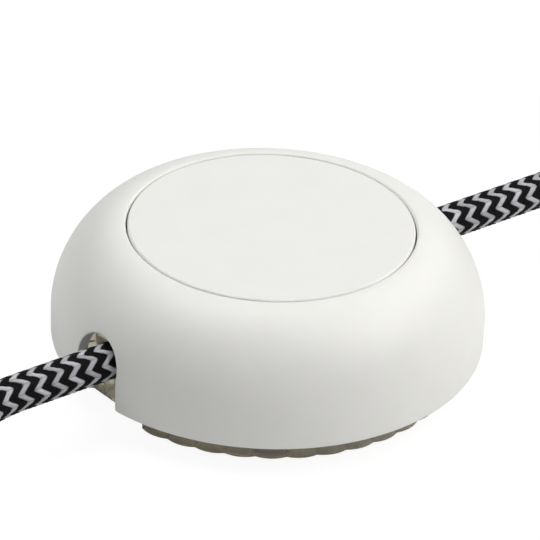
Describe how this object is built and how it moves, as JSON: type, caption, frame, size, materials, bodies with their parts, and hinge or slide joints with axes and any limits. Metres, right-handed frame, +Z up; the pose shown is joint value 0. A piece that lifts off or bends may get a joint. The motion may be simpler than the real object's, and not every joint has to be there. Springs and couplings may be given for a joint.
{
  "type": "inline cord dimmer",
  "caption": "Round inline dimmer with a push disc and a scalloped base rim, on a black and white braided cord with a plug on one end and bare cores on the other.",
  "frame": {"origin": "on the floor, under the middle of the round housing", "axes": "+Z up through the push disc, X along the line through both cord ports with the plug side at -X"},
  "size_m": [0.3606, 0.087, 0.028],
  "materials": {
    "white_shell": "moulded, satin",
    "white_button": "moulded, fine matt grain",
    "smoked_base": "translucent, moulded",
    "black_rubber": "moulded",
    "zinc_steel": "zinc plated",
    "spring_steel": "drawn wire",
    "board_laminate": "glass-filled laminate with a lacquer",
    "black_moulding": "moulded",
    "grey_moulding": "moulded",
    "white_core": "soft insulation",
    "fuse_glass": "drawn tube",
    "tinned_brass": "pressed strip",
    "ferrite": "sintered",
    "enamelled_copper": "enamelled wire",
    "film_capacitor": "box moulding",
    "sleeved_can": "sleeved can",
    "sink_aluminium": "bent sheet",
    "braided_textile": "black and white braid",
    "tie_textile": "woven hook-and-loop strap",
    "plug_moulding": "moulded",
    "plated_pin": "nickel plated",
    "tinned_copper": "tinned sleeve"
  },
  "bodies": {
    "housing": {"upper_shell": "white_shell", "button_springs": "spring_steel", "base_plate": "smoked_base", "rubber_feet": "black_rubber", "base_screws": "zinc_steel", "circuit_board": "board_laminate", "board_screws": "zinc_steel", "push_switch": "black_moulding", "mains_terminal": "grey_moulding", "lamp_terminal": "grey_moulding", "terminal_screws": "zinc_steel", "mains_cores": "white_core", "lamp_cores": "white_core", "mains_clamp": "grey_moulding", "lamp_clamp": "grey_moulding", "clamp_screws": "zinc_steel", "fuse_link": "fuse_glass", "fuse_clips": "tinned_brass", "choke_core": "ferrite", "choke_winding": "enamelled_copper", "suppression_capacitor": "film_capacitor", "storage_capacitor": "sleeved_can", "heat_sink": "sink_aluminium", "power_triac": "black_moulding", "heat_sink_screw": "zinc_steel", "control_chip": "black_moulding", "mains_cord": "braided_textile", "lamp_cord": "braided_textile", "mains_coil": "braided_textile", "lamp_coil": "braided_textile", "mains_tie": "tie_textile", "lamp_tie": "tie_textile", "plug_body": "plug_moulding", "plug_pins": "plated_pin", "lamp_end_cores": "white_core", "end_ferrules": "tinned_copper"},
    "button": {"push_button": "white_button", "switch_plunger": "grey_moulding"}
  },
  "joints": [
    {"name": "button_press", "type": "slide", "parent": "housing", "child": "button", "axis": [0, 0, -1], "range_m": [0, 0.0015], "stiffness_N_per_m": 1500, "deforming": ["button_springs"]}
  ]
}
